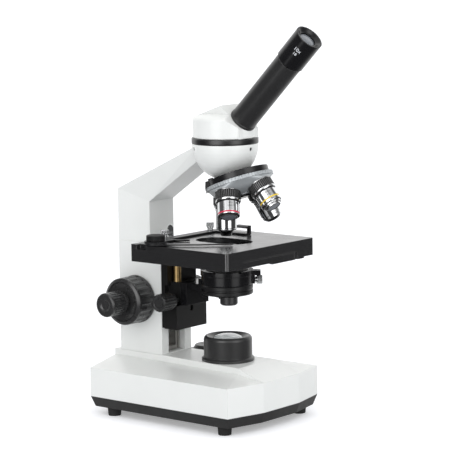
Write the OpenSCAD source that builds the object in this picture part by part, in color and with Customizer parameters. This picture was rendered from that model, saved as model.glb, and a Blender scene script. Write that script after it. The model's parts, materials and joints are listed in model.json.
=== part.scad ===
// Compound microscope: stand, focusing carriage, mechanical stage, condenser,
// four-place nosepiece, rotating head and sliding eyepiece.
// Millimetres. Z is up, the eyepiece points to -Y, the column stands at +Y.
// The origin is on the table, in the middle of the whole microscope's box.
// Inside the modules Y is counted from the optical axis; place() moves it.

/* [Base] */
// half width of the base
base_half_w = 68.3; // [64:0.1:72]
// distance from the optical axis to the base's front face
base_front = 64.8; // [62:0.1:70]
// distance from the optical axis to the base's rear face
base_rear = 127; // [125:0.1:132]
// half width of the narrow front and rear faces
base_nose_half_w = 26.8; // [25:0.1:30]
// how far the slanted front and rear walls run back
base_nose_depth = 10; // [8:0.1:12]
// height of the rubber feet
foot_h = 8; // [7:0.1:8]
// radius of a foot
foot_r = 6.8; // [6:0.1:7.5]
// height of the joint between the pan and the shell
pan_top = 18; // [17:0.1:19]
// height of the shell's side walls
wall_top = 46.2; // [45:0.1:47]
// height of the flat deck
deck_z = 56.8; // [56.8:0.1:56.8]
// thickness of the shell's walls
shell_t = 3; // [2.4:0.1:3.4]

/* [Illuminator] */
// outside radius of the illuminator's body
lamp_r = 23.2; // [22.5:0.1:23.6]
// radius of its flange
lamp_flange_r = 25.2; // [24.6:0.1:25.8]
// height of its rim above the table
lamp_top = 80.6; // [78:0.1:82]
// radius of the collector lens
lamp_lens_r = 14.3; // [13:0.1:15]

/* [Column and arm] */
// half width of the column and of the arm's outer edge
column_half_w = 21.4; // [21.4:0.1:22]
// half width of the arm's inner edge
arm_inner_half_w = 17.5; // [16:0.1:20]
// front face of the lower column, from the optical axis
column_front = 64.9; // [64.9:0.1:65.4]
// rear face of the column, from the optical axis
column_rear = 119; // [117:0.1:121]
// front face of the upper column, from the optical axis
upper_front = 81.6; // [80.4:0.1:84]
// top of the lower column
step_z = 165.7; // [164.5:0.1:166]
// height of the rear corner where the arm starts to lean forward
arm_rear_z = 216.2; // [212:0.1:220]
// height of the inside corner under the arm
arm_inner_z = 205.2; // [203:0.1:208]
// rim radius of the bowl at the arm's front end
bowl_r = 31.5; // [31:0.1:32]
// top of the bowl
bowl_top = 264.75; // [264.75:0.01:264.75]
// half width of the guide slot
slot_half_w = 12; // [11.5:0.1:12.5]

/* [Focusing drive] */
// distance of the knobs' axis from the optical axis
knob_y = 95.5; // [95.5:0.1:95.5]
// height of the knobs' axis
knob_z = 109.4; // [109.4:0.1:109.4]
// radius of a coarse knob
coarse_r = 23; // [21:0.1:24]
// face of a coarse knob, from the middle plane
coarse_face = 45; // [43:0.1:45.5]
// radius of a fine knob
fine_r = 11.7; // [10.5:0.1:12]
// face of a fine knob, from the middle plane
fine_face = 69; // [68.4:0.1:70]
// radius of the hollow focusing shaft
coarse_shaft_r = 8; // [7:0.1:8.5]
// radius of the fine shaft inside it
fine_shaft_r = 4; // [3.5:0.1:4.2]
// running clearance on a shaft's radius
run_gap = 0.05; // [0.03:0.01:0.09]

/* [Stage] */
// half width of the stage
stage_half_w = 65.3; // [64.4:0.1:66]
// front edge of the stage, from the optical axis
stage_front = 54.6; // [53:0.1:57]
// rear edge of the stage, from the optical axis
stage_rear = 62.9; // [62.6:0.1:63.2]
// height of the stage's top face
stage_top = 171.2; // [171.2:0.1:171.2]
// depth of the stage's skirt
stage_t = 16.5; // [15.5:0.1:17]
// radius of the stage's front corners
stage_corner_r = 3; // [2:0.5:6]
// half width of the stage opening
opening_r = 17; // [16:0.1:18]

/* [Nosepiece] */
// tilt of the nosepiece, and of each objective against it
tilt = 20; // [20:0.1:20]
// height where the objectives' axes meet
apex_z = 277.2; // [277.2:0.1:277.2]
// distance of the objectives' seats from that point
seat_t = 63; // [62.5:0.1:63.5]
// outside radius of the rotating turret
turret_r = 32.4; // [31.6:0.1:32.6]
// outside radius of the fixed disc above it
nose_disc_r = 29.3; // [28:0.1:30]
// gap between the slide's place and the objective in use
working_gap = 5.2; // [4:0.1:8]
// radius of an objective's grip
grip_r = 12.1; // [11.4:0.1:12.4]
// radius of an objective's barrel
barrel_r = 10.4; // [9.5:0.1:10.9]

/* [Head and eyepiece] */
// radius of the head's round base
head_r = 30.3; // [29.5:0.1:31]
// half width of the prism block
block_half_w = 14; // [13.8:0.1:16]
// height where the tube's axis meets the optical axis
tube_z0 = 265.2; // [264.5:0.1:266]
// outside radius of the eyepiece tube
tube_r = 12.6; // [12.4:0.1:12.8]
// end of the tube along its axis
tube_end = 110.5; // [100:0.1:112]
// inside radius of the eyepiece tube
tube_bore_r = 11.65; // [11.6:0.01:11.7]
// radius of the eyepiece's head
eyepiece_r = 13.6; // [13.3:0.1:14]
// length of the eyepiece's head
eyepiece_h = 32.2; // [28:0.1:33]

/* [Condenser] */
// radius of the condenser's carrying ring
carrier_r = 25.3; // [24.5:0.1:25.8]
// bottom of the iris ring
iris_z = 121; // [121:0.1:121]
// radius of the iris ring
iris_r = 24.8; // [24:0.1:25.2]
// radius of the condenser's focusing knob
cond_knob_r = 8.6; // [8:0.1:9]

/* [Hidden] */
$fn = 72;

s45 = sqrt(0.5);
eyepiece_start = tube_end + 0.3;
eyepiece_end = eyepiece_start + eyepiece_h;
y_min = -(eyepiece_end + eyepiece_r) * s45;
frame_y = -(base_rear + y_min) / 2;
facet_z = wall_top + 4.6;
foot_x = base_half_w - 11.8;
foot_y = [23.3 - base_front, base_rear - 30];
deck_break = -35;
deck_front_half_w = 28;
plate_top_t = 5;
skirt_t = 4;
stage_under = stage_top - stage_t;
roof_under = stage_top - plate_top_t;
support_top = roof_under - 0.3;
support_bottom = stage_under + 2.3;
gear_pitch_r = 15;
cond_pitch_r = 4.8;
cond_y = 50.5;
cond_z = 112;
xy_x = 48;
xy_y = 45;
holder_z = stage_top + 0.3;
hub_x = -58.5;
hub_y = 38;
bar_y = 45.2;
bar_t = 1.6;
seat_h = 0.5;
boss_r = 10.8;
boss_h = 3.1;
dial_x = base_half_w - 22.8;
dial_y = 63.5;
tip_t = apex_z - stage_top - working_gap;
rim_t = seat_t * cos(tilt) - 10;
disc_t = rim_t - 6;
hub_t = seat_t * cos(tilt) + 4.1;
support_half_w = stage_half_w - skirt_t - 3.4;
knob_plane_z = stage_under - 5.7;
clamp_dir = -50.4;
lever_dir = 225.3;
screw_z = bowl_top - 4.35;
ring_top = bowl_top + 5.65;
ring_bore_r = 22.4;

module place() {
  translate([0, frame_y, 0]) children();
}

// the base's outline, moved inwards by i
function base_outline(i) =
  let (a = base_nose_half_w - 0.114 * i,
       w = base_half_w - i,
       f = -base_front + i,
       fc = -base_front + base_nose_depth + 0.795 * i,
       r = base_rear - i,
       rc = base_rear - base_nose_depth - 0.795 * i)
  [[-a, f], [a, f], [w, fc], [w, rc], [a, r], [-a, r], [-w, rc], [-w, fc]];

module along_x(x0, x1, y, z) {
  translate([x0, y, z]) rotate([90, 0, 90])
    linear_extrude(height = x1 - x0) children();
}

// cylinder along X
module rod_x(x0, x1, y, z, r) {
  translate([x0, y, z]) rotate([0, 90, 0]) cylinder(h = x1 - x0, r = r);
}

// side profile in (y, z), swept along X
module side_prism(half_w, pts) {
  rotate([90, 0, 90]) translate([0, 0, -half_w])
    linear_extrude(height = 2 * half_w) polygon(pts);
}

// children drawn with the tube's axis as Z and the crossing point as origin
module on_tube() {
  translate([0, 0, tube_z0]) rotate([45, 0, 0]) children();
}

// children drawn in the nosepiece's frame: its axis is Z, down is -Z
module on_nose() {
  translate([0, 0, apex_z]) rotate([-tilt, 0, 0]) children();
}

// children drawn in one objective's frame
module on_objective(turn) {
  on_nose() rotate([0, 0, turn]) rotate([tilt, 0, 0]) children();
}

// ---------------------------------------------------------------- base

module base_shell() color("whitesmoke") place() difference() {
  union() {
    translate([0, 0, pan_top]) linear_extrude(height = wall_top - pan_top)
      polygon(base_outline(0));
    hull() {
      translate([0, 0, wall_top - 0.1]) linear_extrude(height = 0.1)
        polygon(base_outline(0));
      translate([0, 0, facet_z - 0.1]) linear_extrude(height = 0.1)
        polygon([[-column_half_w, base_rear], [column_half_w, base_rear],
                 [deck_front_half_w, deck_break],
                 [-deck_front_half_w, deck_break]]);
    }
    translate([-column_half_w - 0.2, column_front - 1, wall_top - 1])
      cube([2 * column_half_w + 0.4, base_rear - column_front + 1,
            deck_z - wall_top + 1]);
    hull() {
      translate([0, 0, deck_z - 0.1]) linear_extrude(height = 0.1)
        polygon([[-column_half_w - 0.2, column_front],
                 [column_half_w + 0.2, column_front],
                 [deck_front_half_w, deck_break],
                 [-deck_front_half_w, deck_break]]);
      translate([0, 0, wall_top - 0.1]) linear_extrude(height = 0.1)
        polygon([[-column_half_w - 0.2, column_front],
                 [column_half_w + 0.2, column_front],
                 [deck_front_half_w, deck_break],
                 [base_nose_half_w, -base_front],
                 [-base_nose_half_w, -base_front],
                 [-deck_front_half_w, deck_break]]);
    }
  }
  difference() {
    translate([0, 0, pan_top - 1])
      linear_extrude(height = wall_top - shell_t - pan_top + 1)
        polygon(base_outline(shell_t));
    // screw posts and the rocker's lugs stay inside the hollow
    for (x = [-foot_x, foot_x], y = foot_y)
      translate([x, y, pan_top - 2]) cylinder(h = 40, r = 5);
    translate([4.6, base_rear - 14, 24]) cube([3.4, 12, 30]);
    translate([22, base_rear - 14, 24]) cube([3.4, 12, 30]);
  }
  for (x = [-foot_x, foot_x], y = foot_y)
    translate([x, y, pan_top - 1]) cylinder(h = 16, r = 1.5);
  // illuminator seat
  translate([0, 0, 40]) cylinder(h = 20, r = 17);
  // bolts into the column's foot
  for (x = [-16.5, 16.5], y = [74, 108])
    translate([x, y, 40]) cylinder(h = 20, r = 2.2);
  // wire hole into the column
  translate([0, 92, 40]) cylinder(h = 20, r = 3);
  // dimmer shaft
  translate([dial_x, dial_y, 40]) cylinder(h = 14, r = 3 + run_gap);
  // rear openings: inlet and switch
  translate([-24, base_rear - 6, 22]) cube([28, 8, 20]);
  translate([8, base_rear - 6, 22.3]) cube([14, 8, 19.4]);
  rod_x(4, 26, base_rear - 9.5, 32, 1.5 + run_gap);
}

module base_pan() color("#202020") place() difference() {
  union() {
    difference() {
      hull() {
        translate([0, 0, pan_top - 0.15]) linear_extrude(height = 0.1)
          polygon(base_outline(0));
        translate([0, 0, foot_h]) linear_extrude(height = 0.1)
          polygon(base_outline(3.5));
      }
      translate([0, 0, foot_h + 2.5]) linear_extrude(height = 20)
        polygon(base_outline(6.5));
    }
    for (x = [-foot_x, foot_x], y = foot_y)
      translate([x, y, foot_h]) cylinder(h = pan_top - foot_h - 2.1, r = 5);
  }
  for (x = [-foot_x, foot_x], y = foot_y)
    translate([x, y, foot_h - 1]) cylinder(h = 20, r = 1.8);
  // vent slots under the lamp
  for (i = [-4:4])
    translate([i * 6 - 1.25, -20, foot_h - 1]) cube([2.5, 40, 6]);
}

module foot(x, y) {
  translate([x, y, 0]) rotate_extrude()
    polygon([[1.8, 3], [3.6, 3], [3.6, 0], [foot_r - 0.8, 0],
             [foot_r - 0.6, 0.4], [foot_r, foot_h - 0.05],
             [1.8, foot_h - 0.05]]);
}
module foot_front_left() color("#181818") place() foot(-foot_x, foot_y[0]);
module foot_front_right() color("#181818") place() foot(foot_x, foot_y[0]);
module foot_rear_left() color("#181818") place() foot(-foot_x, foot_y[1]);
module foot_rear_right() color("#181818") place() foot(foot_x, foot_y[1]);

module illuminator_housing() color("#1c1c1c") place() rotate_extrude()
  polygon([[12.4, deck_z - 4], [lamp_lens_r + 0.1, deck_z - 4],
           [lamp_lens_r + 0.1, deck_z - 10], [16.9, deck_z - 10],
           [16.9, deck_z + 0.05], [lamp_flange_r, deck_z + 0.05],
           [lamp_flange_r, deck_z + 2.2], [lamp_flange_r - 1.2, deck_z + 3.3],
           [lamp_r, deck_z + 3.5], [lamp_r, lamp_top - 3.4],
           [lamp_r - 0.5, lamp_top - 1.6], [lamp_r - 1.5, lamp_top - 0.4],
           [lamp_r - 2.4, lamp_top], [lamp_r - 3.2, lamp_top],
           [lamp_lens_r + 0.1, lamp_top - 2.9],
           [lamp_lens_r + 0.1, lamp_top - 7.8], [12.4, lamp_top - 7.8]]);

module collector_lens() color("#dfe8ee") place() translate([0, 0, lamp_top - 7.7])
  rotate_extrude()
    polygon(concat([[0, 0], [lamp_lens_r, 0]],
      [for (a = [0:9:90]) [lamp_lens_r * cos(a), 4.4 + 4.7 * sin(a)]]));

module lamp_board() color("#2e6b45") place() {
  translate([0, 0, deck_z - 9]) cylinder(h = 2.4, r = lamp_lens_r - 0.1);
}

module lamp_dome() color("#f2f0dc") place()
  translate([0, 0, deck_z - 6.6]) rotate_extrude()
    polygon(concat([[0, 0.05], [4.5, 0.05]],
      [for (a = [0:9:90]) [4.5 * cos(a), 1.5 + 4.5 * sin(a)]]));

// supply board on four posts, standing on the pan's floor
module power_board() color("#2e6b45") place() {
  for (x = [-48, -10], y = [30, 84])
    translate([x, y, foot_h + 2.55]) cylinder(h = 6, r = 2.6);
  translate([-52, 26, foot_h + 8.5]) cube([46, 62, 1.6]);
  translate([-46, 36, foot_h + 10]) cube([24, 20, 16]);
  for (y = [64, 76])
    translate([-38, y, foot_h + 10]) cylinder(h = 13, r = 4.5);
  translate([-20, 60, foot_h + 10]) cube([8, 14, 10]);
}

module dimmer_dial() color("#1e1e1e") place() translate([dial_x, dial_y, 0])
  difference() {
    rotate_extrude()
      polygon([[0, 42.3], [3, 42.3], [3, 51.1], [18.5, 51.1], [19, 51.8],
               [18.5, 52.6], [14.2, 54.2], [13, 57], [12.2, 57.5], [0, 57.5]]);
    for (a = [0:15:345]) rotate([0, 0, a]) translate([14.9, 0, 54.6])
      cylinder(h = 4, r = 1.5);
    translate([-0.6, 5, 57]) cube([1.2, 6, 2]);
  }

module power_inlet() color("#151515") place() difference() {
  translate([-23.8, base_rear - 16, 22.2]) cube([27.6, 15.8, 19.6]);
  translate([-21.8, base_rear - 13.5, 24.2]) difference() {
    cube([23.6, 20, 15.6]);
    translate([6.4, -1, 5.2]) cube([1.6, 11, 5.2]);
    translate([11, -1, 7.2]) cube([1.6, 11, 5.2]);
    translate([15.6, -1, 5.2]) cube([1.6, 11, 5.2]);
  }
}

module rocker_switch() color("#101010") place() {
  difference() {
    rod_x(8.3, 21.7, base_rear - 9.5, 32, 9.2);
    translate([0, base_rear - 5.2, 32.1]) rotate([12, 0, 0])
      cube([30, 20, 20]);
    translate([0, base_rear - 5.2, 31.9]) rotate([-12, 0, 0])
      translate([0, 0, -20]) cube([30, 20, 20]);
  }
  rod_x(4.6, 25.4, base_rear - 9.5, 32, 1.5);
}

// ------------------------------------------------------- column and arm

// lower outline of the bowl, from its lowest point out to its rim
function bowl_arc(g) =
  [for (a = [0:6:84]) [(bowl_r + g) * sin(a), 264 - (34 + g) * cos(a)]];

module arm_casting() color("whitesmoke") place() difference() {
  union() {
    translate([-column_half_w, column_front, deck_z + 0.05])
      cube([2 * column_half_w, column_rear - column_front,
            step_z - deck_z - 0.05]);
    hull() {
      translate([-column_half_w, column_rear - 0.1, step_z - 5])
        cube([2 * column_half_w, 0.1, arm_rear_z - step_z + 5]);
      translate([-arm_inner_half_w, upper_front, step_z - 5])
        cube([2 * arm_inner_half_w, 0.1, arm_inner_z - step_z + 5]);
    }
    hull() {
      side_prism(column_half_w,
        [[column_rear, arm_rear_z], [column_rear - 0.1, arm_rear_z - 0.3],
         [14.2, 264.6], [14, bowl_top]]);
      side_prism(arm_inner_half_w,
        [[upper_front, arm_inner_z], [upper_front + 0.1, arm_inner_z + 0.2],
         [10, 254.8], [10, 254.6]]);
    }
    rotate_extrude()
      polygon(concat(bowl_arc(0),
        [[bowl_r, 262.5], [bowl_r, bowl_top], [0, bowl_top]]));
  }
  // slanted face that carries the nosepiece
  on_nose() translate([0, 0, -disc_t - 59.95]) cylinder(h = 60, r = 45);
  // guide slot down the column's front
  translate([-slot_half_w, column_front - 1, deck_z + 1])
    cube([2 * slot_half_w, 16.1, 130]);
  // channel for the rack, over its whole travel
  translate([-3.9, column_front + 15, knob_z - 41])
    cube([7.8, 2.3, 81.5]);
  // focusing shaft and pinion pocket
  rod_x(-30, 30, knob_y, knob_z, coarse_shaft_r + run_gap);
  rod_x(-6.3, 6.3, knob_y, knob_z, 17);
  // light path and the head's dovetail seat
  translate([0, 0, 210]) cylinder(h = 60, r = 11);
  translate([0, 0, bowl_top - 6.4]) cylinder(h = 10, r = ring_bore_r);
  // bolts from the base
  for (x = [-16.5, 16.5], y = [74, 108])
    translate([x, y, deck_z - 1]) cylinder(h = 20, r = 1.8);
  translate([0, 92, deck_z - 1]) cylinder(h = 26, r = 3);
  // set screws
  for (a = [30, 150, 270]) rotate([0, 0, a]) translate([20, 0, screw_z])
    rotate([0, 90, 0]) cylinder(h = 20, r = 1.75);
}

module set_screw(a) {
  rotate([0, 0, a]) translate([22.6, 0, screw_z]) rotate([0, 90, 0])
    difference() {
      cylinder(h = 7.6, r = 1.7);
      translate([0, 0, 5.6]) cylinder(h = 3, r = 0.9, $fn = 6);
    }
}
module set_screw_front() color("#333333") place() set_screw(270);
module set_screw_left() color("#333333") place() set_screw(150);
module set_screw_right() color("#333333") place() set_screw(30);

// two steel ways in the slot, joined at both ends
module guide_rail() color("#8f8d88") place() difference() {
  translate([-10.9, column_front + 6, deck_z + 1.6])
    cube([21.8, 9, step_z - deck_z - 2.4]);
  translate([-5, column_front + 5, deck_z + 5.6])
    cube([10, 11, step_z - deck_z - 10.4]);
  for (x = [-8, 8]) translate([x - 0.9, column_front + 5, deck_z + 1])
    cube([1.8, 2.2, 120]);
}

module head_ring() color("#141414") place() rotate_extrude()
  polygon([[ring_bore_r, bowl_top + 0.1], [bowl_r, bowl_top + 0.1],
           [bowl_r + 0.2, bowl_top + 0.6], [bowl_r + 0.2, ring_top - 0.5],
           [bowl_r - 0.3, ring_top], [ring_bore_r, ring_top]]);

// ------------------------------------------------------------ nosepiece

module nosepiece_mount() color("#161616") place() difference() {
  on_nose() {
    translate([0, 0, 0.3 - rim_t]) cylinder(h = rim_t - disc_t - 0.3,
                                             r = nose_disc_r);
    // pivot and its screw
    translate([0, 0, -hub_t - 1.8]) cylinder(h = hub_t - rim_t + 3, r = 5);
    translate([0, 0, -hub_t - 3.4]) cylinder(h = 1.9, r = 8);
    // leaf that clicks into the turret's rim
    rotate([0, 0, 133]) {
      translate([0, 0, -rim_t]) rotate([90, 0, 0])
        linear_extrude(height = 7, center = true)
          polygon([[24, 0.3], [turret_r + 0.3, 0.3], [turret_r + 0.3, -4],
                   [turret_r + 1, -4], [turret_r + 1, 0.6],
                   [turret_r - 0.8, 6.4], [24, 6.4]]);
      translate([26, 0, -disc_t]) cylinder(h = 2.4, r = 2.6);
    }
  }
  translate([0, 0, 205]) cylinder(h = 45, r = 9.5);
  on_nose() for (a = [0:120:240]) rotate([0, 0, a + 40])
    translate([24.5, 0, -disc_t - 2]) cylinder(h = 4, r = 1.4);
}

// four seats on a smooth cone, so that each objective sits square to its axis
module turret() color("#2a2d33") place() on_nose() difference() {
  union() {
    translate([0, 0, -rim_t - 3.4]) cylinder(h = 3.4, r = turret_r);
    hull() {
      translate([0, 0, -rim_t - 3.5]) cylinder(h = 0.2, r = turret_r - 0.9);
      for (a = [0:90:270]) rotate([0, 0, a]) rotate([tilt, 0, 0])
        translate([0, 0, -seat_t]) cylinder(h = 0.2, r = grip_r + 0.1);
    }
    translate([0, 0, -hub_t - 1.2]) cylinder(h = 4, r = 9.5);
  }
  translate([0, 0, -hub_t - 3]) cylinder(h = 30, r = 5 + run_gap);
  for (a = [0:90:270]) rotate([0, 0, a]) rotate([tilt, 0, 0])
    translate([0, 0, -seat_t - 4]) cylinder(h = 22, r = 10.15);
  // fine grip grooves round the rim
  for (a = [0:6:354]) rotate([0, 0, a + 3])
    translate([turret_r + 0.35, 0, -rim_t - 3]) cylinder(h = 2.6, r = 0.7,
      $fn = 16);
  // click notches
  for (a = [0:90:270]) rotate([0, 0, a + 43])
    translate([turret_r + 0.6, 0, -rim_t - 5]) cylinder(h = 6, r = 1.4);
}

// outer: points from the grip's lower lip to the tip, as [radius, distance]
module objective(turn, outer, tip_r, end_t) {
  grip_end = seat_t + 9.1;
  on_objective(turn) difference() {
    rotate_extrude()
      polygon(concat(
        [[7.5, -seat_t + 4.4], [10.1, -seat_t + 4.4],
         [10.1, -seat_t - 0.02], [grip_r - 0.9, -seat_t - 0.02],
         [grip_r, -seat_t - 0.8], [grip_r, 0.3 - grip_end],
         [grip_r - 0.5, -grip_end], [grip_r - 0.7, -grip_end],
         [grip_r - 0.5, -grip_end - 0.3], [grip_r - 0.5, -grip_end - 1.5],
         [grip_r - 0.9, -grip_end - 1.9], [barrel_r, -grip_end - 1.9]],
        outer,
        [[tip_r, -end_t], [tip_r, -end_t + 1.8], [tip_r - 0.8, -end_t + 1.8],
         [tip_r - 0.8, -end_t + 3.4], [7.5, -end_t + 8], [7.5, -seat_t - 6]]));
    for (a = [0:9:351]) rotate([0, 0, a]) translate([grip_r + 0.45, 0, 0.8 - grip_end])
      cylinder(h = 7.2, r = 0.7, $fn = 16);
  }
}

// barrel and stepped nose, each point [radius, distance from the tip's plane]
module objective_4x() color("#b8b8b8") place() objective(90,
  [[barrel_r, 13.7 - tip_t], [barrel_r - 0.4, 13.3 - tip_t],
   [8, 13.3 - tip_t], [7.4, 12 - tip_t]], 6.9, tip_t - 12);
module objective_10x() color("#b8b8b8") place() objective(180,
  [[barrel_r, 14.4 - tip_t], [barrel_r - 0.4, 14 - tip_t],
   [9, 14 - tip_t], [8.8, 12.4 - tip_t], [7.4, 12.2 - tip_t],
   [7.2, 10.3 - tip_t]], 6.2, tip_t - 10.3);
module objective_40x() color("#b8b8b8") place() objective(270,
  [[barrel_r, 24 - tip_t], [10, 23.6 - tip_t], [10, 9.2 - tip_t],
   [9.4, 8.8 - tip_t], [9.4, 6.4 - tip_t], [6.2, 3.4 - tip_t],
   [5.6, 3.2 - tip_t]], 4.6, tip_t - 3.2);
module objective_100x() color("#b8b8b8") place() objective(0,
  [[barrel_r, 24 - tip_t], [10, 23.6 - tip_t], [10, 7.9 - tip_t],
   [10.3, 7.6 - tip_t], [10.3, 6.6 - tip_t], [9.8, 6.2 - tip_t],
   [8, 5.9 - tip_t], [5.6, 3 - tip_t], [5, -tip_t]], 3.4, tip_t);

module front_lens(turn, r, t) {
  on_objective(turn) translate([0, 0, -t + 0.4]) cylinder(h = 1.35, r = r - 0.05);
}
module front_lens_4x() color("#cfe0ea") place() front_lens(90, 6.9, tip_t - 12);
module front_lens_10x() color("#cfe0ea") place()
  front_lens(180, 6.2, tip_t - 10.3);
module front_lens_40x() color("#cfe0ea") place()
  front_lens(270, 4.6, tip_t - 3.2);
module front_lens_100x() color("#cfe0ea") place() front_lens(0, 3.4, tip_t);

// ------------------------------------------------------- focusing drive

// one straight-sided tooth for a pitch of 3.14 mm times m
function tooth(m) = [[-1.15 * m, -1.2 * m], [-0.62 * m, 0], [-0.38 * m, 0.7 * m],
                     [0.38 * m, 0.7 * m], [0.62 * m, 0], [1.15 * m, -1.2 * m]];

// toothed wheel with a tooth on +Y, drawn flat
module wheel(n, m) {
  union() {
    circle(r = n * m / 2 - 1.05 * m);
    for (i = [0:n - 1]) rotate(i * 360 / n) translate([0, n * m / 2])
      polygon(tooth(m));
  }
}

// toothed strip along X, teeth towards -Y, a gap at 0
module strip(m, i0, i1, back) {
  polygon(concat(
    [[i0 * PI * m - 1.15 * m, 1.05 * m + back],
     [i0 * PI * m - 1.15 * m, 1.05 * m]],
    [for (i = [i0:i1 - 1])
      for (p = [[-1.08, 1.05], [-0.38, -0.7], [0.38, -0.7], [1.08, 1.05]])
        [((i + 0.5) * PI + p[0]) * m, p[1] * m]],
    [[i1 * PI * m + 1.15 * m, 1.05 * m],
     [i1 * PI * m + 1.15 * m, 1.05 * m + back]]));
}

module coarse_shaft() color("#9a9a9a") place() difference() {
  union() {
    rod_x(-40, 40, knob_y, knob_z, coarse_shaft_r);
    translate([-4, knob_y, knob_z]) rotate([0, 90, 0])
      linear_extrude(height = 8) rotate(180) wheel(30, 1);
  }
  rod_x(-45, 45, knob_y, knob_z, fine_shaft_r + run_gap);
}

// a knob on the +X side; the other side is its mirror image
module coarse_knob() {
  translate([0, knob_y, knob_z]) rotate([0, 90, 0]) difference() {
    rotate_extrude()
      polygon([[coarse_shaft_r + 0.02, 22.6], [coarse_r + 0.2, 22.6],
               [coarse_r + 0.4, 23], [coarse_r + 0.4, 24.4],
               [coarse_r - 0.1, 25],
               [coarse_r - 0.1, coarse_face - 1.9],
               [coarse_r - 0.6, coarse_face - 1.2],
               [coarse_r - 3.2, coarse_face],
               [coarse_r - 3.6, coarse_face],
               [coarse_r - 3.8, coarse_face - 0.8],
               [coarse_r - 4.4, coarse_face - 0.8],
               [coarse_r - 4.7, coarse_face - 0.1],
               [fine_r + 1.6, coarse_face - 2.2],
               [coarse_shaft_r + 0.02, coarse_face - 2.2]]);
    for (a = [0:18:342]) rotate([0, 0, a + 9])
      translate([coarse_r + 5.2, 0, 25.4]) cylinder(h = coarse_face - 29.4, r = 6);
  }
}
module coarse_knob_right() color("#1d1d1f") place() coarse_knob();
module coarse_knob_left() color("#1d1d1f") place()
  mirror([1, 0, 0]) coarse_knob();

module fine_shaft() color("#9a9a9a") place()
  rod_x(-62, 62, knob_y, knob_z, fine_shaft_r);

module fine_knob() {
  translate([0, knob_y, knob_z]) rotate([0, 90, 0]) difference() {
    rotate_extrude()
      polygon([[fine_shaft_r + 0.02, coarse_face + 0.5],
               [fine_r - 1.4, coarse_face + 0.5],
               [fine_r - 1.4, coarse_face + 3], [fine_r, coarse_face + 4],
               [fine_r, fine_face - 1.6], [fine_r - 0.5, fine_face - 0.5],
               [fine_r - 1.7, fine_face], [fine_r - 5, fine_face],
               [fine_r - 6, fine_face - 0.3], [fine_r - 7.2, fine_face - 1],
               [0, fine_face - 1.2], [0, fine_face - 6.8],
               [fine_shaft_r + 0.02, fine_face - 6.8]]);
    for (a = [0:15:345]) rotate([0, 0, a])
      translate([fine_r + 0.5, 0, coarse_face + 5])
        cylinder(h = fine_face - coarse_face - 8.4, r = 1, $fn = 20);
  }
}
module fine_knob_right() color("#1d1d1f") place() fine_knob();
module fine_knob_left() color("#1d1d1f") place()
  mirror([1, 0, 0]) fine_knob();

// -------------------------------------------------- carriage and stage

module carriage() color("#1a1a1c") place() difference() {
  union() {
    // face plate in front of the column
    translate([-column_half_w, 60.3, 84]) cube([2 * column_half_w, 4.1, 66]);
    // tongue between the guide's ways
    translate([-4.7, 64, 90])
      cube([9.4, knob_y - gear_pitch_r - 71.6, 61]);
    // lower block
    translate([-22, 45, 83.4]) cube([44, 15.8, 23.4]);
    // condenser bracket
    translate([-15.6, 45.2, 106]) cube([31.2, 15.6, 23]);
    // mast under the stage
    translate([-column_half_w, 57, 126])
      cube([2 * column_half_w, 7.4, support_bottom - 126 - 0.05]);
  }
  // condenser knob's shaft and its pinion pocket
  rod_x(-30, 17, cond_y, cond_z, 3 + run_gap);
  rod_x(-3.3, 3.3, cond_y, cond_z, 6.4);
  // slot for the condenser's rack, with a round end
  translate([-2, 44, 101.6]) cube([4, 4.2, 40]);
  translate([0, 48.2, 101.6]) rotate([90, 0, 0]) cylinder(h = 4.2, r = 2);
  // seat of the stop post
  translate([-11.2, 53, 127]) cylinder(h = 4, r = 3.8);
}

module lift_rack() color("#a8a294") place() {
  translate([-3.5, knob_y - gear_pitch_r, knob_z]) rotate([90, 0, 90])
    linear_extrude(height = 7) rotate(90) strip(1, -5, 12, 6.5);
}

module stop_post() color("#c8a04c") place() difference() {
  translate([-11.2, 53, 127.05])
    cylinder(h = support_bottom - 127.05 - 0.1, r = 3.75);
  translate([-11.2, 53, 137]) rotate([0, 0, clamp_dir - 20]) rotate([0, 90, 0])
    cylinder(h = 6, r = 0.9);
}

module stage_support() color("#1a1a1c") place() difference() {
  union() {
    translate([-support_half_w, -32, support_bottom])
      cube([2 * support_half_w, 94.4, support_top - support_bottom]);
    for (x = [-42, 38]) translate([x, -32, support_top - 1])
      cube([4, 94.4, 3.4]);
  }
  translate([0, 0, 150]) cylinder(h = 30, r = 18);
  translate([xy_x, xy_y, 150]) cylinder(h = 30, r = 3.5 + run_gap);
}

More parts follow.
